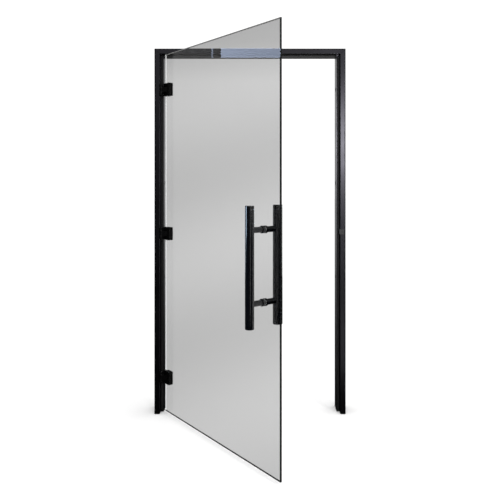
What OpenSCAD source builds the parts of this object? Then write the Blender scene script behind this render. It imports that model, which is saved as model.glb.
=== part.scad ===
// Glass door in a three-sided aluminium frame, leaf hung on three clamp hinges, with a back-to-back pull handle.
// Frame: +X towards the strike jamb, +Y through the wall away from the hinge side's front, +Z up.
// Origin: middle of the opening, at floor level, on the plane of the frame's front faces.

/* [Frame] */
// Overall width of the frame
frame_w = 990; // [700:1:1200]
// Overall height of the frame
frame_h = 1890; // [1600:1:2400]
// Depth of the frame through the wall
frame_d = 115; // [100:1:160]
// Width of the front face of each frame member
face_w = 27.5; // [24:0.5:40]
// Depth of the rebate that the leaf closes into
rebate_d = 35; // [33:0.5:45]
// How far the stop of a jamb stands in past its front face
jamb_stop = 16.5; // [12:0.5:24]
// How far the stop of the head hangs below its front face
head_stop = 4.5; // [4:0.5:12]
// Wall of the extrusion
wall_t = 2; // [1.5:0.1:3]
// Radius of the outer front edge
edge_r = 7; // [4:0.5:9]
// Small radius on the inner front edge
arris_r = 1; // [0.5:0.1:1.5]
// Thickness of the plastic foot under each jamb
foot_t = 2; // [1:0.5:5]

/* [Wall fixings] */
// Height of the lowest fixing hole
fix_first = 205; // [120:1:300]
// Height from one fixing hole to the next
fix_pitch = 494; // [400:1:500]
// Radius of the anchor hole in the outer wall
fix_hole_r = 4.5; // [3:0.1:5.5]
// Radius of the access hole in the inner wall
access_r = 7; // [6:0.1:8]

/* [Seals] */
// Height of a seal above the stop
seal_h = 2.3; // [1.5:0.1:2.5]
// Widest that a seal may be
seal_w_max = 10; // [6:0.5:12]

/* [Leaf] */
// Thickness of the glass
glass_t = 8; // [6:1:8]
// Gap between the glass and each jamb's front member
side_gap = 5; // [4:0.5:8]
// Gap between the glass and the head's front member
top_gap = 2; // [1.5:0.5:4]
// Gap between the glass and the floor
floor_gap = 12; // [5:1:20]
// Gap between the closed glass and the seals' stop face
stop_gap = 3; // [3:0.5:6]
// How far the leaf stands open
open_angle = 51.3; // [0:0.1:100]
// Ground bevel along the glass's upright edges
glass_bevel = 0.8; // [0.3:0.1:1.5]

/* [Hinges] */
// Height of the lowest hinge's middle above the glass's lower edge
hinge_inset_low = 181; // [120:1:300]
// Distance of the top hinge's middle below the glass's upper edge
hinge_inset_top = 185; // [120:1:300]
// How far the pin stands in from the glass's edge
pin_inset = 5; // [3:0.5:6]
// How far the pin stands in front of the frame's front plane
pin_forward = 3; // [0:0.5:5]
// Radius of the hinge pin
pin_r = 4; // [3:0.5:4.5]
// Outer radius of the knuckles
knuckle_r = 9; // [8:0.5:9]
// Height of the bracket on the jamb
bracket_h = 55; // [50:1:70]
// Height of the knuckle on the leaf
knuckle_h = 25; // [20:1:30]
// Thickness of the bracket's plate
bracket_t = 4; // [3:0.5:4]
// Height of the clamp plates
clamp_h = 66; // [56:1:80]
// How far the clamp plates reach over the glass, from its edge
clamp_reach = 58; // [48:1:70]
// Thickness of the outer clamp plate
clamp_outer_t = 11; // [9:0.5:12]
// Thickness of the inner clamp plate
clamp_inner_t = 6; // [5:0.5:8]
// Thickness of the pads between the plates and the glass
pad_t = 1; // [0.8:0.1:1.5]
// Radius of the clamp screws
clamp_screw_r = 3; // [2.5:0.5:3.5]
// Height between the two clamp screws of one hinge
clamp_screw_pitch = 34; // [28:1:36]
// Radius of the holes through the glass for the clamp screws
hinge_hole_r = 8; // [6:0.5:9]

/* [Handle] */
// Length of each grip tube
grip_len = 500; // [360:1:900]
// Outer radius of the grip tubes
grip_r = 19; // [15:0.5:20]
// Wall of the grip tubes
grip_wall = 1.5; // [1:0.1:2]
// Height of the grips' middle above the floor
grip_mid_z = 859.5; // [800:0.5:1100]
// Distance between the two posts
post_pitch = 300; // [200:1:700]
// Radius of the posts
post_r = 12.5; // [8:0.5:13]
// Distance from the middle of the glass to a grip's axis
stand_off = 75; // [60:1:90]
// Distance from the glass's free edge to the grips' axis
grip_inset = 109; // [60:1:200]
// Radius of the collars at the glass
collar_r = 16; // [15:0.5:20]
// Length of the collars
collar_l = 10; // [6:0.5:14]
// Radius of the studs that join the two handles
stud_r = 4; // [3:0.5:5]
// Radius of the holes through the glass for the studs
handle_hole_r = 6; // [5.5:0.5:8]

/* [Catch] */
// Height of the catch's middle above the floor
catch_z = 942; // [800:1:1100]
// Height of the catch
catch_h = 26; // [20:1:40]
// Width of the catch's flange on the front face
catch_flange = 17; // [15:0.5:20]

/* [Hidden] */
$fn = 64;

eps = 0.01;
slip = 0.1;                                   // assembly clearance, per side
running = 0.05;                               // pin to bush, per side

// frame lines
half_w = frame_w / 2;
leg_x = half_w - face_w;                      // inner side of a jamb's front member
stop_x = leg_x - jamb_stop;                   // inner side of a jamb's stop
head_leg_z = frame_h - face_w;                // underside of the head's front member
head_stop_z = head_leg_z - head_stop;         // underside of the head's stop
groove_depth = 1.2;
lip = 0.4;                                    // stop left bare each side of its seal
jamb_seal_w = min(seal_w_max, jamb_stop - 2 * lip);
head_seal_w = min(seal_w_max, head_stop - 2 * lip);
key_leg = 70;                                 // reach of a corner key, from the frame's corner
key_slip = 0.3;
foot_boss_h = 10;
fix_y = (rebate_d + frame_d) / 2;             // fixing holes run down the middle of the stop's reveal
fix_z = [for (i = [0:3]) fix_first + i * fix_pitch];
cap_r = access_r + 2;
cap_t = 1.2;
cap_stem = 5;

// leaf lines, with the leaf shut
glass_x0 = -leg_x + side_gap;
glass_x1 = leg_x - side_gap;
glass_y1 = rebate_d - stop_gap;               // inner face of the glass
glass_y0 = glass_y1 - glass_t;                // outer face of the glass
glass_mid_y = (glass_y0 + glass_y1) / 2;
glass_z1 = head_leg_z - top_gap;

// hinge lines, with the leaf shut
pin_x = glass_x0 + pin_inset;
pin_y = -pin_forward;
hinge_low_z = floor_gap + hinge_inset_low;
hinge_top_z = glass_z1 - hinge_inset_top;
hinge_mid_z = (hinge_low_z + hinge_top_z) / 2;
bush_r = pin_r + 2;
flange_r = knuckle_r - 0.5;
flange_t = 1.2;
knuckle_gap = 0.3;                            // bush flange to bracket lug
bush_gap = 0.2;                               // upper bush to lower bush, half of it
lug_z = knuckle_h / 2 + flange_t + knuckle_gap;
bracket_x0 = -leg_x;
bracket_back_y = rebate_d - 3;
lug_back_y = 8;
bracket_front_r = 2;
bracket_screw_y = (lug_back_y + bracket_back_y) / 2 + 2;
bracket_screw_pitch = 32;
screw_r = 2.5;
screw_head_r = 4.6;
screw_len = 16;
clamp_y0 = glass_y0 - pad_t - clamp_outer_t;  // outer face of the outer clamp plate
clamp_y1 = glass_y0 - pad_t;
clamp_x0 = pin_x - 2;
clamp_x1 = glass_x0 + clamp_reach;
clamp_in_y0 = glass_y1 + pad_t;
clamp_in_y1 = clamp_in_y0 + clamp_inner_t;
clamp_in_x0 = -stop_x + 2.5;
clamp_corner_r = 4;
clamp_screw_x = (clamp_in_x0 + clamp_x1) / 2;
clamp_screw_head_r = 2 * clamp_screw_r;
clamp_blind = 3;                              // metal left in front of a clamp screw
web_x = pin_x + 31;                           // where the knuckle's web runs out on the plate

// handle lines, with the leaf shut
grip_x = glass_x1 - grip_inset;
grip_cap_t = 4;
grip_cap_fillet = 2.5;
grip_spigot = 8;
grommet_t = 1;
grommet_r = collar_r - 1.5;
stud_embed = 25;
set_screw_r = 2;

// catch lines
catch_side_t = 3;
catch_face_t = 1.5;
catch_depth = glass_y0 - 1;                   // how far the clip reaches into the rebate
catch_pad_sunk = 1;
catch_pad_proud = 0.3;
catch_pad_border = 4;                         // clip left bare round its pad
catch_screw_r = 2;
catch_screw_head_r = 3.4;
catch_screw_len = 12;

// ---------- frame sections ----------

// square corner less its quarter round, to be cut from a corner at the origin
module corner_waste(r) {
    difference() {
        translate([-1, -1]) square(r + 1);
        translate([r, r]) circle(r);
    }
}

// square-edged outline of a member, with over more at its outer side, front and back:
// x from its outer side inwards, y through the wall
module member_block(stop_w, over = 0) {
    polygon([[-over, -over], [face_w, -over], [face_w, rebate_d], [face_w + stop_w, rebate_d],
             [face_w + stop_w, frame_d + over], [-over, frame_d + over]]);
}

module member_outline(stop_w) {
    difference() {
        member_block(stop_w);
        corner_waste(edge_r);
        translate([face_w, 0]) mirror([1, 0]) corner_waste(arris_r);
    }
}

// the two chambers of a member, shrunk all round by gap
module member_chambers(stop_w, gap = 0) {
    front = wall_t + gap;
    difference() {
        translate([front, front]) square([face_w - 2 * front, rebate_d - front - gap]);
        translate([front, front]) corner_waste(edge_r - wall_t);
    }
    translate([front, rebate_d + front])
        square([face_w + stop_w - 2 * front, frame_d - rebate_d - 2 * front]);
}

module member_section(stop_w, seal_w) {
    difference() {
        member_outline(stop_w);
        member_chambers(stop_w);
        translate([face_w + (stop_w - groove_width(seal_w)) / 2, rebate_d - eps])
            square([groove_width(seal_w), groove_depth + eps]);
    }
}

function groove_width(seal_w) = min(3, seal_w / 2);

// seal in section: a rounded bead with a foot in the stop's groove
module seal_section(stop_w, seal_w) {
    r = min(seal_h / 2, seal_w / 3);
    translate([face_w + stop_w / 2, rebate_d]) {
        translate([-groove_width(seal_w) / 2, -eps]) square([groove_width(seal_w), groove_depth + eps]);
        translate([-seal_w / 2, -seal_h + r]) square([seal_w, seal_h - r]);
        translate([-seal_w / 2 + r, -seal_h]) square([seal_w - 2 * r, seal_h]);
        for (s = [-1, 1]) translate([s * (seal_w / 2 - r), -seal_h + r]) circle(r);
    }
}

// stands a section up along +Z at the hinge side; the strike side is its mirror image
module upright(z0, z1) {
    translate([-half_w, 0, z0]) linear_extrude(z1 - z0) children();
}

// lays a section along +X under the frame's top
module crossways(x0, x1) {
    translate([x0, 0, frame_h]) rotate([0, 90, 0]) linear_extrude(x1 - x0) children();
}

// everything between the two mitre planes
module mitre_prism() {
    depth = face_w + jamb_stop;
    translate([0, frame_d + 1, 0]) rotate([90, 0, 0]) linear_extrude(frame_d + 2)
        polygon([[-half_w - 1, frame_h + 1], [half_w + 1, frame_h + 1],
                 [half_w - depth, frame_h - depth], [-half_w + depth, frame_h - depth]]);
}

// all that the head takes from the jambs' upper ends
module head_envelope() {
    intersection() {
        crossways(-half_w - 1, half_w + 1) member_block(head_stop, 1);
        mitre_prism();
    }
}

module fixing_holes() {
    for (z = fix_z) translate([-half_w, fix_y, z]) rotate([0, 90, 0]) {
        translate([0, 0, -1]) cylinder(r = fix_hole_r, h = wall_t + 2);
        translate([0, 0, face_w + jamb_stop - wall_t - 1]) cylinder(r = access_r, h = wall_t + 2);
    }
}

module jamb() {
    difference() {
        upright(foot_t, frame_h) member_section(jamb_stop, jamb_seal_w);
        head_envelope();
        fixing_holes();
    }
}

module strike_side() { mirror([1, 0, 0]) children(); }

module hinge_jamb() {
    color([0.09, 0.09, 0.10]) difference() {
        jamb();
        at_hinges() bracket_screw_axes() translate([0, 0, -wall_t - 1]) cylinder(r = screw_r, h = wall_t + 2);
    }
}

module strike_jamb() {
    color([0.09, 0.09, 0.10]) difference() {
        strike_side() jamb();
        catch_screw_axis() translate([0, 0, -1]) cylinder(r = catch_screw_r, h = wall_t + 2);
    }
}

module head_rail() {
    color([0.09, 0.09, 0.10]) intersection() {
        crossways(-half_w, half_w) member_section(head_stop, head_seal_w);
        mitre_prism();
    }
}

// angle cleat that fills the front chambers of a jamb and the head across the mitre
module corner_key() {
    outer = edge_r + 1;
    inner = face_w - wall_t - key_slip;
    depth = rebate_d - key_slip - outer;
    translate([-half_w, outer, frame_h]) {
        translate([outer, 0, -key_leg]) cube([inner - outer, depth, key_leg - outer]);
        translate([outer, 0, -inner]) cube([key_leg - outer, depth, inner - outer]);
    }
}
module corner_key_hinge_side() { color([0.75, 0.76, 0.78]) corner_key(); }
module corner_key_strike_side() { color([0.75, 0.76, 0.78]) strike_side() corner_key(); }

module foot() {
    upright(0, foot_t) member_outline(jamb_stop);
    upright(foot_t, foot_t + foot_boss_h) member_chambers(jamb_stop, key_slip);
}
module foot_hinge_side() { color([0.05, 0.05, 0.05]) foot(); }
module foot_strike_side() { color([0.05, 0.05, 0.05]) strike_side() foot(); }

module jamb_seal() { upright(foot_t, head_stop_z) seal_section(jamb_stop, jamb_seal_w); }
module seal_hinge_jamb() { color([0.03, 0.03, 0.03]) jamb_seal(); }
module seal_strike_jamb() { color([0.03, 0.03, 0.03]) strike_side() jamb_seal(); }
module seal_head() {
    color([0.03, 0.03, 0.03])
        crossways(-stop_x, stop_x) seal_section(head_stop, head_seal_w);
}

module side_caps() {
    for (z = fix_z) translate([-stop_x, fix_y, z]) rotate([0, 90, 0]) {
        cylinder(r = cap_r, h = cap_t);
        translate([0, 0, -cap_stem]) cylinder(r = access_r - slip, h = cap_stem + eps);
    }
}
module fixing_caps() {
    color([0.04, 0.04, 0.04]) {
        side_caps();
        strike_side() side_caps();
    }
}

// ---------- hinges ----------

module at_hinges() {
    for (z = [hinge_low_z, hinge_mid_z, hinge_top_z]) translate([0, 0, z]) children();
}

module bracket_screw_axes() {
    for (s = [-1, 1]) translate([bracket_x0, bracket_screw_y, s * bracket_screw_pitch / 2])
        rotate([0, 90, 0]) children();
}

// lug in plan: the knuckle's round, carried back to the plate
module lug_plan() {
    depth = lug_back_y - pin_y + knuckle_r;
    translate([pin_x, pin_y]) circle(knuckle_r);
    difference() {
        translate([bracket_x0, pin_y - knuckle_r]) square([pin_x - bracket_x0, depth]);
        translate([bracket_x0, pin_y - knuckle_r]) corner_waste(bracket_front_r);
    }
}

module bracket() {
    color([0.06, 0.06, 0.07]) difference() {
        union() {
            for (z = [lug_z, -bracket_h / 2])
                translate([0, 0, z]) linear_extrude(bracket_h / 2 - lug_z) lug_plan();
            translate([bracket_x0, lug_back_y - bracket_t, -bracket_h / 2])
                cube([bracket_t, bracket_back_y - lug_back_y + bracket_t, bracket_h]);
        }
        translate([pin_x, pin_y, -bracket_h]) cylinder(r = pin_r, h = 2 * bracket_h);
        // the leaf's knuckle turns past the plate's front edge
        translate([pin_x, pin_y, -lug_z]) cylinder(r = knuckle_r + 1, h = 2 * lug_z);
        bracket_screw_axes() {
            translate([0, 0, -1]) cylinder(r = screw_r + slip, h = bracket_t + 2);
            translate([0, 0, bracket_t - (screw_head_r - screw_r)])
                cylinder(r1 = screw_r + slip, r2 = screw_head_r + slip, h = screw_head_r - screw_r + eps);
        }
    }
}
module bracket_bottom() { translate([0, 0, hinge_low_z]) bracket(); }
module bracket_middle() { translate([0, 0, hinge_mid_z]) bracket(); }
module bracket_top() { translate([0, 0, hinge_top_z]) bracket(); }

module hinge_pin() {
    bevel = 0.6;
    color([0.5, 0.5, 0.52]) translate([pin_x, pin_y, -bracket_h / 2]) rotate_extrude()
        polygon([[0, 0], [pin_r - bevel, 0], [pin_r, bevel], [pin_r, bracket_h - bevel],
                 [pin_r - bevel, bracket_h], [0, bracket_h]]);
}
module pin_bottom() { translate([0, 0, hinge_low_z]) hinge_pin(); }
module pin_middle() { translate([0, 0, hinge_mid_z]) hinge_pin(); }
module pin_top() { translate([0, 0, hinge_top_z]) hinge_pin(); }

// countersunk screw along +Z, its flat head at z = 0 and its shank below
module countersunk(shank_r, head_r, len) {
    socket_r = shank_r * 0.55;
    difference() {
        rotate_extrude() polygon([[0, 0], [head_r, 0], [shank_r, shank_r - head_r], [shank_r, -len], [0, -len]]);
        translate([0, 0, -shank_r * 0.8]) cylinder(r = socket_r, h = shank_r, $fn = 6);
    }
}

module bracket_screws() {
    color([0.12, 0.12, 0.13]) at_hinges() bracket_screw_axes()
        translate([0, 0, bracket_t]) countersunk(screw_r, screw_head_r, screw_len);
}

// everything on the leaf is drawn shut and turned open about the pins
module leaf() {
    translate([pin_x, pin_y, 0]) rotate([0, 0, -open_angle]) translate([-pin_x, -pin_y, 0]) children();
}
module on_leaf_at(z) { leaf() translate([0, 0, z]) children(); }

module rounded_plate(x0, x1, y0, y1) {
    r = clamp_corner_r;
    translate([0, y1, 0]) rotate([90, 0, 0]) linear_extrude(y1 - y0) {
        translate([x0 + r, -clamp_h / 2]) square([x1 - x0 - 2 * r, clamp_h]);
        translate([x0, -clamp_h / 2 + r]) square([x1 - x0, clamp_h - 2 * r]);
        for (x = [x0 + r, x1 - r], z = [-1, 1]) translate([x, z * (clamp_h / 2 - r)]) circle(r);
    }
}

module clamp_screw_axes(y) {
    for (s = [-1, 1]) translate([clamp_screw_x, y, s * clamp_screw_pitch / 2]) rotate([-90, 0, 0]) children();
}

module clamp_outer() {
    color([0.06, 0.06, 0.07]) difference() {
        union() {
            rounded_plate(clamp_x0, clamp_x1, clamp_y0, clamp_y1);
            translate([0, 0, -knuckle_h / 2]) linear_extrude(knuckle_h) {
                translate([pin_x, pin_y]) circle(knuckle_r);
                polygon([[pin_x, pin_y - knuckle_r], [web_x, clamp_y0], [web_x, clamp_y0 + 2],
                         [clamp_x0, clamp_y0 + 2], [pin_x - knuckle_r / 3, clamp_y0 - 4],
                         [pin_x - knuckle_r * 0.7, pin_y + knuckle_r * 0.7]]);
            }
        }
        translate([pin_x, pin_y, -knuckle_h]) cylinder(r = bush_r, h = 2 * knuckle_h);
        clamp_screw_axes(clamp_y0 + clamp_blind) cylinder(r = clamp_screw_r, h = clamp_outer_t);
    }
}
module clamp_outer_bottom() { on_leaf_at(hinge_low_z) clamp_outer(); }
module clamp_outer_middle() { on_leaf_at(hinge_mid_z) clamp_outer(); }
module clamp_outer_top() { on_leaf_at(hinge_top_z) clamp_outer(); }

module clamp_inner() {
    rise = clamp_screw_head_r - clamp_screw_r;
    color([0.06, 0.06, 0.07]) difference() {
        rounded_plate(clamp_in_x0, clamp_x1, clamp_in_y0, clamp_in_y1);
        clamp_screw_axes(clamp_in_y0 - 1) cylinder(r = clamp_screw_r + slip, h = clamp_inner_t + 2);
        clamp_screw_axes(clamp_in_y1 - rise)
            cylinder(r1 = clamp_screw_r + slip, r2 = clamp_screw_head_r + slip, h = rise + eps);
    }
}
module clamp_inner_bottom() { on_leaf_at(hinge_low_z) clamp_inner(); }
module clamp_inner_middle() { on_leaf_at(hinge_mid_z) clamp_inner(); }
module clamp_inner_top() { on_leaf_at(hinge_top_z) clamp_inner(); }

// pad with sleeves that line the glass's holes half way through
module pad(x0, y_plate, into) {
    sleeve = glass_t / 2 - slip;
    color([0.03, 0.03, 0.03]) difference() {
        union() {
            rounded_plate(x0, clamp_x1, min(y_plate, y_plate + into * pad_t), max(y_plate, y_plate + into * pad_t));
            clamp_screw_axes(into > 0 ? y_plate : y_plate - pad_t - sleeve)
                cylinder(r = hinge_hole_r - slip, h = pad_t + sleeve);
        }
        clamp_screw_axes(y_plate - glass_t) cylinder(r = clamp_screw_r + slip, h = 2 * glass_t);
    }
}
module pad_outer() { pad(clamp_x0, clamp_y1, 1); }
module pad_inner() { pad(clamp_in_x0, clamp_in_y0, -1); }
module pad_outer_bottom() { on_leaf_at(hinge_low_z) pad_outer(); }
module pad_outer_middle() { on_leaf_at(hinge_mid_z) pad_outer(); }
module pad_outer_top() { on_leaf_at(hinge_top_z) pad_outer(); }
module pad_inner_bottom() { on_leaf_at(hinge_low_z) pad_inner(); }
module pad_inner_middle() { on_leaf_at(hinge_mid_z) pad_inner(); }
module pad_inner_top() { on_leaf_at(hinge_top_z) pad_inner(); }

// the two flanged bushes of one knuckle
module bushes() {
    color([0.15, 0.15, 0.15]) for (s = [0, 1]) mirror([0, 0, s]) translate([pin_x, pin_y, 0]) difference() {
        union() {
            translate([0, 0, bush_gap]) cylinder(r = bush_r, h = knuckle_h / 2 - bush_gap + eps);
            translate([0, 0, knuckle_h / 2]) cylinder(r = flange_r, h = flange_t);
        }
        translate([0, 0, -1]) cylinder(r = pin_r + running, h = knuckle_h);
    }
}
module bushes_bottom() { on_leaf_at(hinge_low_z) bushes(); }
module bushes_middle() { on_leaf_at(hinge_mid_z) bushes(); }
module bushes_top() { on_leaf_at(hinge_top_z) bushes(); }

module clamp_screws() {
    color([0.12, 0.12, 0.13]) leaf() at_hinges() clamp_screw_axes(clamp_in_y1)
        countersunk(clamp_screw_r, clamp_screw_head_r, clamp_in_y1 - clamp_y0 - clamp_blind - slip);
}

// ---------- glass ----------

module glass_pane() {
    b = glass_bevel;
    color([0.45, 0.47, 0.5, 0.5]) leaf() difference() {
        translate([0, 0, floor_gap]) linear_extrude(glass_z1 - floor_gap)
            polygon([[glass_x0 + b, glass_y0], [glass_x1 - b, glass_y0], [glass_x1, glass_y0 + b],
                     [glass_x1, glass_y1 - b], [glass_x1 - b, glass_y1], [glass_x0 + b, glass_y1],
                     [glass_x0, glass_y1 - b], [glass_x0, glass_y0 + b]]);
        at_hinges() clamp_screw_axes(glass_y0 - 1) cylinder(r = hinge_hole_r, h = glass_t + 2);
        at_posts() post_axis(glass_y0 - 1) cylinder(r = handle_hole_r, h = glass_t + 2);
    }
}

// ---------- handle ----------

lower_z = grip_mid_z - post_pitch / 2;
upper_z = grip_mid_z + post_pitch / 2;
module at_posts() { for (z = [lower_z, upper_z]) translate([0, 0, z]) children(); }
module post_axis(y) { translate([grip_x, y, 0]) rotate([-90, 0, 0]) children(); }
// the handle's front half is drawn; its rear half is the same piece turned over the middle of the glass
module rear_half() { translate([0, 2 * glass_mid_y, 0]) mirror([0, 1, 0]) children(); }
front_axis_y = glass_mid_y - stand_off;

module grip() {
    color([0.05, 0.05, 0.06]) translate([grip_x, front_axis_y, grip_mid_z - grip_len / 2 + grip_cap_t])
        difference() {
            cylinder(r = grip_r, h = grip_len - 2 * grip_cap_t);
            translate([0, 0, -1]) cylinder(r = grip_r - grip_wall, h = grip_len);
        }
}
module grip_front() { leaf() grip(); }
module grip_rear() { leaf() rear_half() grip(); }

// end cap in section: a filleted disc with a spigot inside the tube
module grip_cap() {
    f = grip_cap_fillet;
    spigot_r = grip_r - grip_wall - slip;
    rotate_extrude() {
        square([grip_r - f, grip_cap_t]);
        square([grip_r, grip_cap_t - f]);
        intersection() {
            translate([grip_r - f, grip_cap_t - f]) circle(f);
            translate([0, grip_cap_t - f]) square([grip_r, f]);
        }
        translate([0, -grip_spigot]) square([spigot_r, grip_spigot + eps]);
    }
}
module grip_caps() {
    color([0.05, 0.05, 0.06]) translate([grip_x, front_axis_y, grip_mid_z])
        for (s = [0, 1]) mirror([0, 0, s]) translate([0, 0, grip_len / 2 - grip_cap_t]) grip_cap();
}
module grip_caps_front() { leaf() grip_caps(); }
module grip_caps_rear() { leaf() rear_half() grip_caps(); }

// post: from the glass's grommet to the grip, its end shaped to the tube
module post() {
    color([0.05, 0.05, 0.06]) difference() {
        post_axis(front_axis_y) cylinder(r = post_r, h = glass_y0 - grommet_t - front_axis_y);
        translate([grip_x, front_axis_y, -2 * grip_r]) cylinder(r = grip_r, h = 4 * grip_r);
        post_axis(glass_y0 - grommet_t - stud_embed) cylinder(r = stud_r, h = stud_embed + 1);
    }
}
module post_front_lower() { on_leaf_at(lower_z) post(); }
module post_front_upper() { on_leaf_at(upper_z) post(); }
module post_rear_lower() { on_leaf_at(lower_z) rear_half() post(); }
module post_rear_upper() { on_leaf_at(upper_z) rear_half() post(); }

module collar() {
    bevel = 0.8;
    color([0.05, 0.05, 0.06]) difference() {
        post_axis(glass_y0 - grommet_t - collar_l) rotate_extrude()
            polygon([[post_r, 0], [collar_r - bevel, 0], [collar_r, bevel], [collar_r, collar_l], [post_r, collar_l]]);
        set_screw_axis() cylinder(r = set_screw_r, h = 2 * collar_r);
    }
}
module set_screw_axis() {
    translate([grip_x, glass_y0 - grommet_t - collar_l / 2, 0]) rotate([180, 0, 0]) children();
}
module collar_front_lower() { on_leaf_at(lower_z) collar(); }
module collar_front_upper() { on_leaf_at(upper_z) collar(); }
module collar_rear_lower() { on_leaf_at(lower_z) rear_half() collar(); }
module collar_rear_upper() { on_leaf_at(upper_z) rear_half() collar(); }

module set_screw() {
    color([0.2, 0.2, 0.21]) set_screw_axis() translate([0, 0, post_r]) difference() {
        cylinder(r = set_screw_r, h = collar_r - post_r - 0.5);
        translate([0, 0, 1]) cylinder(r = set_screw_r / 2, h = collar_r, $fn = 6);
    }
}
module collar_set_screws() {
    leaf() at_posts() {
        set_screw();
        rear_half() set_screw();
    }
}

module grommet() {
    color([0.75, 0.77, 0.78]) difference() {
        post_axis(glass_y0 - grommet_t) {
            cylinder(r = grommet_r, h = grommet_t);
            cylinder(r = handle_hole_r - slip, h = grommet_t + glass_t / 2 - slip);
        }
        post_axis(glass_y0 - 2 * grommet_t) cylinder(r = stud_r + slip, h = glass_t);
    }
}
module glass_grommets() {
    leaf() at_posts() {
        grommet();
        rear_half() grommet();
    }
}

module stud() {
    reach = glass_t + 2 * grommet_t + 2 * stud_embed - 2;
    color([0.5, 0.5, 0.52]) post_axis(glass_mid_y - reach / 2) cylinder(r = stud_r, h = reach);
}
module stud_lower() { on_leaf_at(lower_z) stud(); }
module stud_upper() { on_leaf_at(upper_z) stud(); }

// ---------- catch ----------

module catch_screw_axis() {
    translate([leg_x + catch_flange / 2, 0, catch_z]) rotate([-90, 0, 0]) children();
}

module catch_section() {
    difference() {
        translate([-catch_side_t, -catch_face_t]) {
            square([catch_side_t + catch_flange, catch_face_t]);
            square([catch_side_t, catch_face_t + catch_depth]);
        }
        translate([-catch_side_t, -catch_face_t]) corner_waste(arris_r);
    }
}

module catch_clip() {
    color([0.2, 0.2, 0.21]) difference() {
        translate([leg_x, 0, catch_z - catch_h / 2]) linear_extrude(catch_h) catch_section();
        catch_screw_axis() translate([0, 0, -catch_face_t - eps]) {
            cylinder(r = catch_screw_r + slip, h = catch_face_t + 1);
            cylinder(r1 = catch_screw_head_r + slip, r2 = catch_screw_r + slip, h = catch_screw_head_r - catch_screw_r);
        }
        catch_pad_block(0, catch_pad_sunk + 1);
    }
}

// block let into the clip's side from outside, smaller all round by gap
module catch_pad_block(gap, proud) {
    b = catch_pad_border + gap;
    translate([leg_x - catch_side_t - proud, b - catch_face_t, catch_z - catch_h / 2 + b])
        cube([proud + catch_pad_sunk, catch_depth + catch_face_t - 2 * b, catch_h - 2 * b]);
}
module catch_pad() { color([0.62, 0.63, 0.64]) catch_pad_block(slip, catch_pad_proud); }

module catch_screw() {
    color([0.12, 0.12, 0.13]) catch_screw_axis() translate([0, 0, -catch_face_t])
        mirror([0, 0, 1]) countersunk(catch_screw_r, catch_screw_head_r, catch_screw_len);
}

hinge_jamb();
strike_jamb();
head_rail();
corner_key_hinge_side();
corner_key_strike_side();
foot_hinge_side();
foot_strike_side();
seal_hinge_jamb();
seal_strike_jamb();
seal_head();
fixing_caps();
bracket_bottom();
bracket_middle();
bracket_top();
pin_bottom();
pin_middle();
pin_top();
bracket_screws();
catch_clip();
catch_pad();
catch_screw();
glass_pane();
clamp_outer_bottom();
clamp_outer_middle();
clamp_outer_top();
clamp_inner_bottom();
clamp_inner_middle();
clamp_inner_top();
pad_outer_bottom();
pad_outer_middle();
pad_outer_top();
pad_inner_bottom();
pad_inner_middle();
pad_inner_top();
bushes_bottom();
bushes_middle();
bushes_top();
clamp_screws();
grip_front();
grip_rear();
grip_caps_front();
grip_caps_rear();
post_front_lower();
post_front_upper();
post_rear_lower();
post_rear_upper();
collar_front_lower();
collar_front_upper();
collar_rear_lower();
collar_rear_upper();
glass_grommets();
stud_lower();
stud_upper();
collar_set_screws();
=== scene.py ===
"""A glass door in its black aluminium frame, with the leaf open on three clamp hinges.

The leaf carries a back-to-back pull handle, and the jamb that it shuts against has a catch."""

import math

import bpy
import numpy as np
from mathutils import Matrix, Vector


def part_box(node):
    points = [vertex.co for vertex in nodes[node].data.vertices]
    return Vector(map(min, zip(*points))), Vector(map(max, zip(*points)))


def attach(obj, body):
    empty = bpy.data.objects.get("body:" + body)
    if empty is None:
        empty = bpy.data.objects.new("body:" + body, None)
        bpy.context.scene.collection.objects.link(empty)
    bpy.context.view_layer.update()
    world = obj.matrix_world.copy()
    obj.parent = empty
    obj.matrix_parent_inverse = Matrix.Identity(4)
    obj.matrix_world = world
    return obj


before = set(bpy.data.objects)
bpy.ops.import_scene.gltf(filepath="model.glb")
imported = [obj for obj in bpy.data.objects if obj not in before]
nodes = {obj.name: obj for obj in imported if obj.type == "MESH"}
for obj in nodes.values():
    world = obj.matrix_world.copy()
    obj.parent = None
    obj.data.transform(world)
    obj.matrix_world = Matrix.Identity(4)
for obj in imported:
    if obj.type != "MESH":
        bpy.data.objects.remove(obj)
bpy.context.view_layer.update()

# ---------------------------------------------------------------------------
# Jambs and head rail.
# Hollow aluminium extrusion, anodised black and left satin. Each length shows
# faint drawn lines along it, and the three lengths meet in sawn mitres.
# ---------------------------------------------------------------------------

FRAME_BLACK = (0.045, 0.044, 0.051)
FRAME_DUST = (0.16, 0.16, 0.17)
FRAME_ROUGHNESS = 0.28
MITRE_GAP = 0.0005
MITRE_BLACK = (0.006, 0.006, 0.006)


def finish(name, color, metallic, roughness):
    """A new material whose Principled shader has these plain values, and its node tree."""
    material = bpy.data.materials.new(name)
    material.use_nodes = True
    shader = material.node_tree.nodes["Principled BSDF"]
    shader.inputs["Base Color"].default_value = (*color, 1)
    shader.inputs["Metallic"].default_value = metallic
    shader.inputs["Roughness"].default_value = roughness
    return material, material.node_tree, shader


def place(tree, kind, **values):
    """A node of that kind, with inputs set by name or joined to another node's socket."""
    made = tree.nodes.new(kind)
    for key, value in values.items():
        if key.startswith("_"):
            setattr(made, key[1:], value)
            continue
        socket = made.inputs[int(key[1:])] if key[1:].isdigit() else made.inputs[key.replace("_", " ")]
        if isinstance(value, bpy.types.NodeSocket):
            tree.links.new(value, socket)
        else:
            socket.default_value = value
    return made


def use(tree, made_group, **values):
    """The shader group placed in a material, with its inputs set or joined."""
    return place(tree, "ShaderNodeGroup", _node_tree=made_group, **values)


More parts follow.
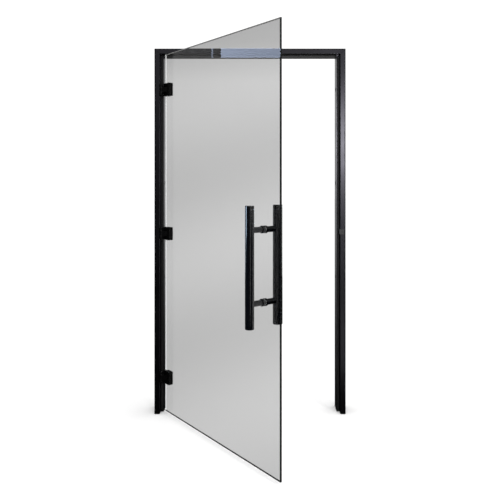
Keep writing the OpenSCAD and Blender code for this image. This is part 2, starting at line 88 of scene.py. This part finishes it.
def object_place(tree):
    """The point on the surface, in metres, in the object's own frame."""
    return tree.nodes.new("ShaderNodeTexCoord").outputs["Object"]


def dress(material, *names):
    """Gives a material to CAD nodes, in place of the one they came with."""
    for name in names:
        slots = nodes[name].data.materials
        slots.clear()
        slots.append(material)


def group(name, takes, gives):
    """An empty shader group; takes and gives list its sockets as (name, type, default)."""
    tree = bpy.data.node_groups.new(name, "ShaderNodeTree")
    for label, kind, default in takes:
        socket = tree.interface.new_socket(label, in_out="INPUT", socket_type=kind)
        socket.default_value = default
    for label, kind in gives:
        tree.interface.new_socket(label, in_out="OUTPUT", socket_type=kind)
    return tree, tree.nodes.new("NodeGroupInput"), tree.nodes.new("NodeGroupOutput")


def drawn_lines_group():
    """Lines left by a die or a belt: noise stretched along one direction.
    Stretch is how many lines a metre the pattern has along x, y and z."""
    tree, given, made = group(
        "drawn_lines",
        [("Vector", "NodeSocketVector", (0, 0, 0)), ("Stretch", "NodeSocketVector", (900, 900, 3)),
         ("Roughness", "NodeSocketFloat", 0.3), ("Spread", "NodeSocketFloat", 0.08)],
        [("Lines", "NodeSocketFloat"), ("Roughness", "NodeSocketFloat")])
    squeezed = place(tree, "ShaderNodeVectorMath", _operation="MULTIPLY",
                     i0=given.outputs["Vector"], i1=given.outputs["Stretch"])
    fine = place(tree, "ShaderNodeTexNoise", Vector=squeezed.outputs[0], Scale=1.0, Detail=2.0)
    centred = place(tree, "ShaderNodeMath", _operation="SUBTRACT", i0=fine.outputs["Fac"], i1=0.5)
    shift = place(tree, "ShaderNodeMath", _operation="MULTIPLY_ADD",
                  i0=centred.outputs[0], i1=given.outputs["Spread"], i2=given.outputs["Roughness"])
    tree.links.new(fine.outputs["Fac"], made.inputs["Lines"])
    tree.links.new(shift.outputs[0], made.inputs["Roughness"])
    return tree


def handling_group():
    """Faint clouds of handling and dust: slow noise that lightens the colour and dulls the gloss."""
    tree, given, made = group(
        "handling",
        [("Vector", "NodeSocketVector", (0, 0, 0)), ("Color", "NodeSocketColor", (0.05, 0.05, 0.05, 1)),
         ("Dust", "NodeSocketColor", (0.2, 0.2, 0.2, 1)), ("Amount", "NodeSocketFloat", 0.1),
         ("Roughness", "NodeSocketFloat", 0.3)],
        [("Color", "NodeSocketColor"), ("Roughness", "NodeSocketFloat")])
    clouds = place(tree, "ShaderNodeTexNoise", Vector=given.outputs["Vector"], Scale=9.0, Detail=5.0)
    held = place(tree, "ShaderNodeMapRange", Value=clouds.outputs["Fac"], From_Min=0.42, From_Max=0.75)
    share = place(tree, "ShaderNodeMath", _operation="MULTIPLY",
                  i0=held.outputs[0], i1=given.outputs["Amount"])
    tinted = place(tree, "ShaderNodeMix", _data_type="RGBA", i0=share.outputs[0],
                   i6=given.outputs["Color"], i7=given.outputs["Dust"])
    dulled = place(tree, "ShaderNodeMath", _operation="ADD",
                   i0=given.outputs["Roughness"], i1=share.outputs[0])
    tree.links.new(tinted.outputs[2], made.inputs["Color"])
    tree.links.new(dulled.outputs[0], made.inputs["Roughness"])
    return tree


drawn_lines = drawn_lines_group()
handling = handling_group()
half_width, _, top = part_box("head_rail")[1]


def anodised(name, stretch):
    """Black anodising over drawn aluminium; stretch sets which way its lines run.
    The sawn mitres show as a hairline, as far in from the side as down from the top."""
    material, tree, shader = finish(name, FRAME_BLACK, 1.0, FRAME_ROUGHNESS)
    where = object_place(tree)
    along = place(tree, "ShaderNodeSeparateXYZ", Vector=where)
    aside = place(tree, "ShaderNodeMath", _operation="ABSOLUTE", i0=along.outputs["X"])
    past = place(tree, "ShaderNodeMath", _operation="SUBTRACT", i0=along.outputs["Z"], i1=aside.outputs[0])
    seam = place(tree, "ShaderNodeMath", _operation="COMPARE",
                 i0=past.outputs[0], i1=top - half_width, i2=MITRE_GAP)
    lines = use(tree, drawn_lines, Vector=where, Stretch=stretch, Roughness=FRAME_ROUGHNESS, Spread=0.10)
    cloud = use(tree, handling, Vector=where, Color=(*FRAME_BLACK, 1), Dust=(*FRAME_DUST, 1),
                Amount=0.05, Roughness=lines.outputs["Roughness"])
    bump = place(tree, "ShaderNodeBump", Strength=0.06, Distance=0.0002, Height=lines.outputs["Lines"])
    sawn = place(tree, "ShaderNodeMix", _data_type="RGBA", i0=seam.outputs[0],
                 i6=cloud.outputs["Color"], i7=(*MITRE_BLACK, 1))
    tree.links.new(sawn.outputs[2], shader.inputs["Base Color"])
    tree.links.new(cloud.outputs["Roughness"], shader.inputs["Roughness"])
    tree.links.new(bump.outputs["Normal"], shader.inputs["Normal"])
    return material


upright_black = anodised("anodised_upright", (1400, 1400, 2))
head_black = anodised("anodised_head", (2, 1400, 1400))
dress(upright_black, "hinge_jamb", "strike_jamb")
dress(head_black, "head_rail")

# ---------------------------------------------------------------------------
# Inside the frame: mill-finish corner keys, moulded feet, and the caps that
# close the access holes of the wall anchors.
# ---------------------------------------------------------------------------

mill_aluminium, tree, shader = finish("mill_aluminium", (0.62, 0.63, 0.65), 1.0, 0.35)
sawn = use(tree, drawn_lines, Vector=object_place(tree), Stretch=(700, 5, 700), Roughness=0.35, Spread=0.2)
tree.links.new(sawn.outputs["Roughness"], shader.inputs["Roughness"])
dress(mill_aluminium, "corner_key_hinge_side", "corner_key_strike_side")


def moulded(name, color, roughness, grain):
    """Moulded plastic or rubber: an even colour with a fine grain of that many bumps a metre."""
    material, tree, shader = finish(name, color, 0.0, roughness)
    where = object_place(tree)
    speckle = place(tree, "ShaderNodeTexNoise", Vector=where, Scale=grain, Detail=3.0)
    bump = place(tree, "ShaderNodeBump", Strength=0.15, Distance=0.0001, Height=speckle.outputs["Fac"])
    cloud = use(tree, handling, Vector=where, Color=(*color, 1), Dust=(0.045, 0.045, 0.045, 1),
                Amount=0.08, Roughness=roughness)
    tree.links.new(cloud.outputs["Color"], shader.inputs["Base Color"])
    tree.links.new(cloud.outputs["Roughness"], shader.inputs["Roughness"])
    tree.links.new(bump.outputs["Normal"], shader.inputs["Normal"])
    return material


foot_plastic = moulded("foot_plastic", (0.012, 0.012, 0.013), 0.5, 1500)
cap_plastic = moulded("cap_plastic", (0.006, 0.006, 0.007), 0.45, 1800)
dress(foot_plastic, "foot_hinge_side", "foot_strike_side")
dress(cap_plastic, "fixing_caps")

# ---------------------------------------------------------------------------
# Seals.
# Black rubber beads round the stop's inner side, each with a foot in the
# stop's groove.
# ---------------------------------------------------------------------------

seal_rubber = moulded("seal_rubber", (0.003, 0.003, 0.0033), 0.6, 2500)
dress(seal_rubber, "seal_hinge_jamb", "seal_strike_jamb", "seal_head")

# ---------------------------------------------------------------------------
# Hinges.
# Cast and machined, then coated black. Rubber pads grip the glass, and the
# leaf's plastic bushes turn on pins of ground steel.
# ---------------------------------------------------------------------------

HINGES = ("bottom", "middle", "top")


def coated(name, color, roughness, grain, clear, gloss=0.35, clear_roughness=0.18):
    """Black coating over metal, with the soft unevenness of sprayed powder. Clear is the
    weight of a thin clear layer over it, and gloss is how strongly the coating itself shines."""
    material, tree, shader = finish(name, color, 0.0, roughness)
    where = object_place(tree)
    peel = place(tree, "ShaderNodeTexNoise", Vector=where, Scale=grain, Detail=2.0)
    bump = place(tree, "ShaderNodeBump", Strength=0.04, Distance=0.0002, Height=peel.outputs["Fac"])
    cloud = use(tree, handling, Vector=where, Color=(*color, 1), Dust=(0.012, 0.012, 0.013, 1),
                Amount=0.10, Roughness=roughness)
    shader.inputs["Coat Weight"].default_value = clear
    shader.inputs["Specular IOR Level"].default_value = gloss
    shader.inputs["Coat Roughness"].default_value = clear_roughness
    tree.links.new(cloud.outputs["Color"], shader.inputs["Base Color"])
    tree.links.new(cloud.outputs["Roughness"], shader.inputs["Roughness"])
    tree.links.new(bump.outputs["Normal"], shader.inputs["Normal"])
    return material


hinge_black = coated("hinge_black", (0.0008, 0.0008, 0.0010), 0.46, 600, 0.03, 0.12)
for level in HINGES:
    dress(hinge_black, "bracket_" + level, "clamp_outer_" + level, "clamp_inner_" + level)

pad_rubber = moulded("pad_rubber", (0.004, 0.004, 0.004), 0.65, 2500)
bush_plastic = moulded("bush_plastic", (0.020, 0.020, 0.021), 0.4, 1200)
for level in HINGES:
    dress(pad_rubber, "pad_outer_" + level, "pad_inner_" + level)
    dress(bush_plastic, "bushes_" + level)

ground_steel, tree, shader = finish("ground_steel", (0.55, 0.55, 0.56), 1.0, 0.22)
ground = use(tree, drawn_lines, Vector=object_place(tree), Stretch=(60, 60, 3000),
             Roughness=0.22, Spread=0.15)
tree.links.new(ground.outputs["Roughness"], shader.inputs["Roughness"])
dress(ground_steel, "pin_bottom", "pin_middle", "pin_top", "stud_lower", "stud_upper")

screw_black = coated("screw_black", (0.014, 0.014, 0.015), 0.36, 1500, 0.1)
dress(screw_black, "bracket_screws", "clamp_screws", "collar_set_screws", "catch_screw")

# ---------------------------------------------------------------------------
# Glass.
# Toughened glass, grey through its body, so that its depth darkens it. Three
# thin bands just inside its edges give them a ground look: a dark teal one along
# the bottom and free edges, a pale one on the hinge edge that is a painted
# highlight and glows as painted light, and a grey one along the top that is a
# painted reflection of light from above.
# ---------------------------------------------------------------------------

GLASS_IOR = 1.52
GLASS_BODY = (0.609, 0.609, 0.608)
GLASS_DENSITY = 124.0

tinted_glass, tree, shader = finish("tinted_glass", (0.975, 0.975, 0.975), 0.0, 0.0)
shader.inputs["IOR"].default_value = GLASS_IOR
shader.inputs["Transmission Weight"].default_value = 1.0
depth = place(tree, "ShaderNodeVolumeAbsorption", Color=(*GLASS_BODY, 1), Density=GLASS_DENSITY)
tree.links.new(depth.outputs["Volume"], tree.nodes["Material Output"].inputs["Volume"])
dress(tinted_glass, "glass_pane")
nodes["glass_pane"].visible_diffuse = False

# The leaf's own directions: from its hinges to its free edge, through it, and up.
OPEN = math.radians(51.3)
ALONG = np.array([math.cos(OPEN), -math.sin(OPEN), 0.0])
ACROSS = np.array([math.sin(OPEN), math.cos(OPEN), 0.0])
UP = np.array([0, 0, 1.0])

# A band is EDGE_DEPTH deep, and lies EDGE_INSET inside the edge and FACE_INSET inside each face.
# CORNER_GAP keeps an end of one band clear of the band that runs round or past that corner.
EDGE_DEPTH = 0.0040
EDGE_INSET = 0.0005
FACE_INSET = 0.0004
CORNER_GAP = 1.2 * EDGE_DEPTH


def carried(name, path, sides, profile):
    """A closed skin: the profile's points carried along the path's points. A profile point (u, v)
    lies u along the first and v along the second of the two sides given there. One face closes
    each end."""
    first_way = profile[None, :, 0:1] * sides[:, None, 0, :]
    second_way = profile[None, :, 1:2] * sides[:, None, 1, :]
    points = path[:, None, :] + first_way + second_way
    stations, around = len(path), len(profile)
    station, spot = np.meshgrid(np.arange(stations - 1), np.arange(around), indexing="ij")
    near, far = station * around, (station + 1) * around
    beside = (spot + 1) % around
    quads = np.stack([near + spot, far + spot, far + beside, near + beside], axis=-1)
    last_end = [(stations - 1) * around + q for q in reversed(range(around))]
    faces = quads.reshape(-1, 4).tolist() + [list(range(around)), last_end]
    mesh = bpy.data.meshes.new(name)
    mesh.from_pydata(points.reshape(-1, 3).tolist(), [], faces)
    mesh.update()
    piece = bpy.data.objects.new(name, mesh)
    bpy.context.scene.collection.objects.link(piece)
    return piece


pane_mesh = nodes["glass_pane"].data
pane = np.empty(len(pane_mesh.vertices) * 3)
pane_mesh.vertices.foreach_get("co", pane)
pane = pane.reshape(-1, 3)
reach, through = pane @ ALONG, pane @ ACROSS
low, high = pane[:, 2].min(), pane[:, 2].max()
heart = (through.min() + through.max()) / 2 * ACROSS
half = (through.max() - through.min()) / 2 - FACE_INSET
ends = {"hinge": reach.min() + EDGE_INSET, "free": reach.max() - EDGE_INSET}
levels = {"low": low + EDGE_INSET, "high": high - EDGE_INSET}
corner = {(end, level): heart + ALONG * ends[end] + (0, 0, levels[level])
          for end in ends for level in levels}
edge_profile = np.array([(-half, 0.0), (half, 0.0), (half, EDGE_DEPTH), (-half, EDGE_DEPTH)])


def edge_band(name, stops, inward, material):
    """One band inside the pane along its edge: the profile, flat along the edge face, carried
    through the stops, with a mitre at a corner; inward is the way into the pane at each."""
    sides = np.stack([np.broadcast_to(ACROSS, (len(stops), 3)), np.array(inward, float)], axis=1)
    band = carried(name, np.array(stops), sides, edge_profile)
    band.data.materials.append(material)
    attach(band, "leaf")
    return band


def ground_edge(name, dark, light, roughness, painted_glow=0.0):
    """An edge band's colour: its tone drifts slowly between two colours, like a ground and polished edge.
    The last argument sets how strongly it glows in its lighter colour: painted light standing in for light
    carried along inside the pane."""
    material, tree, shader = finish(name, dark, 0.0, roughness)
    grind = use(tree, drawn_lines, Vector=object_place(tree), Stretch=(40, 40, 40),
                Roughness=roughness, Spread=0.2)
    tone = place(tree, "ShaderNodeMix", _data_type="RGBA", i0=grind.outputs["Lines"],
                 i6=(*dark, 1), i7=(*light, 1))
    shader.inputs["Specular IOR Level"].default_value = 0.15
    # A painted glow in the lighter colour, where no lamp is.
    shader.inputs["Emission Color"].default_value = (*light, 1)
    shader.inputs["Emission Strength"].default_value = painted_glow
    tree.links.new(tone.outputs[2], shader.inputs["Base Color"])
    tree.links.new(grind.outputs["Roughness"], shader.inputs["Roughness"])
    return material


edge_teal = ground_edge("edge_teal", (0.0008, 0.0030, 0.0040), (0.0020, 0.0070, 0.0090), 0.25)
# The pale hinge edge: a painted highlight that also glows as painted light.
edge_pale_painted_glow = ground_edge("edge_pale_painted_glow", (0.84, 0.86, 0.86), (0.95, 0.96, 0.96), 0.5, painted_glow=0.8)
# The grey top edge: a painted reflection of light from above.
edge_grey_painted_reflection = ground_edge("edge_grey_painted_reflection", (0.42, 0.42, 0.41), (0.50, 0.50, 0.49), 0.5)
edge_band("glass_edges_free",
          [corner["hinge", "low"], corner["free", "low"], corner["free", "high"]],
          [UP, UP - ALONG, -ALONG], edge_teal)
# The hinge edge's band, a painted highlight.
edge_band("glass_edge_hinge_painted_glow",
          [corner["hinge", "low"] + CORNER_GAP * UP, corner["hinge", "high"]],
          [ALONG, ALONG], edge_pale_painted_glow)
# The top edge's band, a painted reflection.
edge_band("glass_edge_top_painted_reflection",
          [corner["hinge", "high"] + CORNER_GAP * ALONG, corner["free", "high"] - CORNER_GAP * ALONG],
          [-UP, -UP], edge_grey_painted_reflection)

# ---------------------------------------------------------------------------
# Pull handle.
# Two steel tubes back to back, posts shaped to the tubes, collars and end
# caps, all coated the same black. Clear washers keep the metal off the glass.
# ---------------------------------------------------------------------------

grip_black = coated("grip_black", (0.0008, 0.0011, 0.0022), 0.16, 700, 0.6, clear_roughness=0.09)
for face in ("front", "rear"):
    dress(grip_black, "grip_" + face, "grip_caps_" + face)
    for level in ("lower", "upper"):
        dress(grip_black, "post_" + face + "_" + level, "collar_" + face + "_" + level)

washer_clear, tree, shader = finish("washer_clear", (0.85, 0.87, 0.88), 0.0, 0.25)
shader.inputs["Transmission Weight"].default_value = 0.6
milk = place(tree, "ShaderNodeTexNoise", Vector=object_place(tree), Scale=400.0, Detail=2.0)
milky = place(tree, "ShaderNodeMapRange", Value=milk.outputs["Fac"], To_Min=0.18, To_Max=0.34)
tree.links.new(milky.outputs[0], shader.inputs["Roughness"])
dress(washer_clear, "glass_grommets")

# ---------------------------------------------------------------------------
# Catch on the strike jamb.
# A bent clip over the jamb's inner edge, with a plastic pad and one screw.
# ---------------------------------------------------------------------------

catch_grey = coated("catch_grey", (0.028, 0.028, 0.030), 0.40, 900, 0.05)
catch_pad_grey = moulded("catch_pad_grey", (0.045, 0.045, 0.048), 0.5, 1500)
dress(catch_grey, "catch_clip")
dress(catch_pad_grey, "catch_pad")

# ---------------------------------------------------------------------------
# Floor.
# Wide and nearly white, just below the feet. It is lit and shaded as usual,
# but isn't mirrored in the door or seen through the glass.
# ---------------------------------------------------------------------------

FLOOR_REACH = 30
FLOOR_DROP = 0.0005

floor_corners = [(x * FLOOR_REACH, y * FLOOR_REACH, -FLOOR_DROP)
                 for x, y in ((-1, -1), (1, -1), (1, 1), (-1, 1))]
floor_mesh = bpy.data.meshes.new("floor")
floor_mesh.from_pydata(floor_corners, [], [(0, 1, 2, 3)])
floor = bpy.data.objects.new("floor", floor_mesh)
bpy.context.scene.collection.objects.link(floor)
floor_white, tree, shader = finish("floor_white", (0.99, 0.99, 0.99), 0.0, 0.9)
shader.inputs["Specular IOR Level"].default_value = 0.0
floor_mesh.materials.append(floor_white)
floor.visible_glossy = False
floor.visible_transmission = False

# ---------------------------------------------------------------------------
# Room.
# Four skies: open white for the eye, a fill for matt surfaces, a dark room
# with pale walls for what is mirrored, and a banded one beyond the glass.
# ---------------------------------------------------------------------------

OPEN_LIGHT = 1.15
FILL_LIGHT = 1.08

# Brightness of the mirrored room by height, from half a unit below level at 0 to as much above
# at 1: on the side of the eye and to the left and right, and on the far side of the door.
NEAR_WALLS = [(0.0, 0.01), (0.12, 0.02), (0.5, 0.055), (0.6, 0.12), (0.68, 0.32), (0.72, 0.80), (1.0, 1.4)]
FAR_WALL = [(0.0, 0.0), (0.18, 0.01), (0.26, 0.08), (0.42, 0.5), (0.5, 0.7), (1.0, 0.9)]
FAR_WALL_FROM, FAR_WALL_FULL = 0.80, 0.97
NEAR_WALL_FULL, NEAR_WALL_TO = -0.97, -0.75
SIDE_LIGHT = 0.25

# Slow slanting bands beyond the glass, and how it darkens higher up.
BAND_SLANT = (-7.0, 0.0, 23.6)
BAND_PHASE = -2.33
BAND_DIM, BAND_BRIGHT = 0.93, 1.07
UPPER_FROM, UPPER_FULL = 0.16, 0.225
UPPER_LIGHT = 0.79

world = bpy.data.worlds.new("studio")
world.use_nodes = True
world.cycles.sampling_method = "NONE"
bpy.context.scene.world = world
tree = world.node_tree
tree.nodes.clear()


def ramp(value, stops):
    """A grey ramp over value, with stops as (position, brightness)."""
    made = place(tree, "ShaderNodeValToRGB", Fac=value)
    elements = made.color_ramp.elements
    while len(elements) < len(stops):
        elements.new(0.5)
    for element, (position, grey) in zip(elements, stops):
        element.position = position
        element.color = (grey, grey, grey, 1)
    return made.outputs["Color"]


def span(value, start, end, first=0.0, last=1.0):
    """The value's way from start to end turned into first to last, and held there beyond both."""
    turned = place(tree, "ShaderNodeMapRange", Value=value, From_Min=start, From_Max=end,
                   To_Min=first, To_Max=last)
    return turned.outputs[0]


def worked(operation, *values, **settings):
    """The result of one step of arithmetic on those values."""
    inputs = {"i" + str(at): value for at, value in enumerate(values)}
    return place(tree, "ShaderNodeMath", _operation=operation, **settings, **inputs).outputs[0]


def sky(strength, color=(1, 1, 1, 1)):
    """Light from all around, of that strength."""
    return place(tree, "ShaderNodeBackground", Color=color, Strength=strength).outputs[0]


def either(share, one, other):
    """One sky where share is 0 and the other where it is 1."""
    return place(tree, "ShaderNodeMixShader", i0=share, i1=one, i2=other).outputs[0]


direction = tree.nodes.new("ShaderNodeTexCoord").outputs["Generated"]
parts = place(tree, "ShaderNodeSeparateXYZ", Vector=direction)
height = span(parts.outputs["Z"], -0.5, 0.5)
near_walls = ramp(height, NEAR_WALLS)
far_wall = ramp(height, FAR_WALL)
facing = span(parts.outputs["Y"], FAR_WALL_FROM, FAR_WALL_FULL)
walls = place(tree, "ShaderNodeMix", _data_type="RGBA", i0=facing, i6=near_walls, i7=far_wall)
sideways = span(parts.outputs["Y"], NEAR_WALL_FULL, NEAR_WALL_TO, 1.0, SIDE_LIGHT)
mirrored = sky(worked("MAXIMUM", sideways, facing), walls.outputs[2])
open_white = sky(OPEN_LIGHT)
sky_fill = sky(FILL_LIGHT)
slant = place(tree, "ShaderNodeVectorMath", _operation="DOT_PRODUCT", i0=direction, i1=BAND_SLANT)
swell = worked("SINE", worked("ADD", slant.outputs["Value"], BAND_PHASE))
banded = span(swell, -1.0, 1.0, BAND_DIM, BAND_BRIGHT)
upper = span(parts.outputs["Z"], UPPER_FROM, UPPER_FULL, 1.0, UPPER_LIGHT)
beyond = sky(worked("MULTIPLY", banded, upper))

rays = tree.nodes.new("ShaderNodeLightPath")
seen_through = rays.outputs["Is Transmission Ray"]
only_mirrored = worked("SUBTRACT", rays.outputs["Is Glossy Ray"], seen_through, _use_clamp=True)
lit = either(rays.outputs["Is Diffuse Ray"], open_white, sky_fill)
open_room = either(seen_through, lit, beyond)
surface = tree.nodes.new("ShaderNodeOutputWorld")
tree.links.new(either(only_mirrored, open_room, mirrored), surface.inputs["Surface"])

# ---------------------------------------------------------------------------
# Lights.
# Soft boxes round the door, in watts and metres. They aren't seen, nor seen
# through the glass, and most of them light only the pieces named with them.
# ---------------------------------------------------------------------------

WHITE = (1.0, 1.0, 1.0)
WARM_WHITE = (1.0, 0.98, 0.96)
COOL_WHITE = (0.8, 0.9, 1.0)
WINDOW_BLUE = (0.58, 0.76, 1.0)
SKY_BLUE = (0.61, 0.73, 1.0)


def softbox(name, at, aim, width, tall, power, color):
    """A rectangular soft light at one point, turned towards another."""
    lamp = bpy.data.lights.new(name, "AREA")
    lamp.shape = "RECTANGLE"
    lamp.size, lamp.size_y = width, tall
    lamp.energy = power
    lamp.color = color
    held = bpy.data.objects.new(name, lamp)
    bpy.context.scene.collection.objects.link(held)
    held.location = at
    towards = np.array(aim, float) - np.array(at, float)
    held.rotation_euler = (math.acos(-towards[2] / np.linalg.norm(towards)), 0,
                           math.atan2(towards[1], towards[0]) - math.pi / 2)
    held.visible_camera = False
    held.visible_transmission = False
    return held


def lights_only(lamp, name, *pieces):
    """Keeps a light's glow to the pieces named."""
    lit_pieces = bpy.data.collections.new(name)
    for piece in pieces:
        lit_pieces.objects.link(piece)
    lamp.light_linking.receiver_collection = lit_pieces


# A cool window to the left, for the handle and the glass, and a strip to the right.
window = softbox("window_left", at=(-3.2, -0.75, 1.35), aim=(0.0, -0.6, 0.95),
                 width=0.8, tall=1.4, power=55, color=WINDOW_BLUE)
handle_and_glass = [piece for name, piece in nodes.items()
                    if name.startswith(("grip", "post", "collar", "glass_pane"))]
lights_only(window, "lit_by_window", *handle_and_glass)
softbox("strip_right", at=(2.4, -2.6, 1.60), aim=(0.1, -0.6, 0.9),
        width=0.4, tall=1.2, power=30, color=WARM_WHITE)

# A small spot towards the upper part of the jamb at the right.
softbox("spot_front", at=(0.92, -3.0, 1.60), aim=(0.48, 0.0, 1.42),
        width=0.15, tall=0.22, power=16, color=WHITE)

# Two boxes behind the door, for all but the glass.
opaque = [piece for name, piece in nodes.items() if name != "glass_pane"]
rear_left = softbox("rear_left", at=(-3.0, 3.0, 1.1), aim=(0.0, 0.1, 0.9),
                    width=1.2, tall=2.1, power=30, color=COOL_WHITE)
rear_right = softbox("rear_right", at=(3.2, 2.6, 1.1), aim=(0.0, 0.1, 0.9),
                     width=1.2, tall=2.1, power=40, color=WHITE)
for lamp in (rear_left, rear_right):
    lights_only(lamp, "lit_by_" + lamp.name, *opaque)

# Two weak strips along the jamb at the right, one over most of its height and one at its foot.
softbox("strip_front", at=(0.92, -3.0, 0.75), aim=(0.48, 0.0, 0.9),
        width=0.15, tall=1.3, power=2.0, color=WHITE)
strip_low = softbox("strip_low", at=(0.56, -0.6, 0.22), aim=(0.48, 0.0, 0.3),
                    width=0.06, tall=0.40, power=0.10, color=WHITE)
lights_only(strip_low, "lit_by_strip_low", nodes["strike_jamb"], nodes["foot_strike_side"])

# A bar of sky mirrored high in the glass, with a narrow piece of it apart. Both shine the same way.
SKY_BAR_TALL = 0.075
SKY_AIM_X, SKY_AIM_Y = 0.976, -0.218
for name, at, width, power in (("sky_bar", (-1.984, -0.063, 2.184), 0.480, 0.54),
                               ("sky_gap", (-1.9175, 0.2366, 2.184), 0.0155, 0.008)):
    bar = softbox(name, at, (at[0] + SKY_AIM_X, at[1] + SKY_AIM_Y, at[2]),
                  width, SKY_BAR_TALL, power, SKY_BLUE)
    lights_only(bar, "lit_by_" + name, nodes["glass_pane"])

# ---------------------------------------------------------------------------
# Camera.
# Level and square to the frame, so that uprights stay upright. The picture is
# shifted instead of the camera being turned.
# ---------------------------------------------------------------------------

camera_data = bpy.data.cameras.new("camera")
camera_data.sensor_width = 36.0
camera_data.lens = 42.31
camera_data.shift_x = -0.030
camera_data.shift_y = -0.1462
camera = bpy.data.objects.new("camera", camera_data)
camera.location = (0.0775, -3.036, 1.2256)
camera.rotation_euler = (math.pi / 2, 0, 0)
bpy.context.scene.collection.objects.link(camera)
bpy.context.scene.camera = camera
bpy.context.scene.view_settings.view_transform = "Standard"
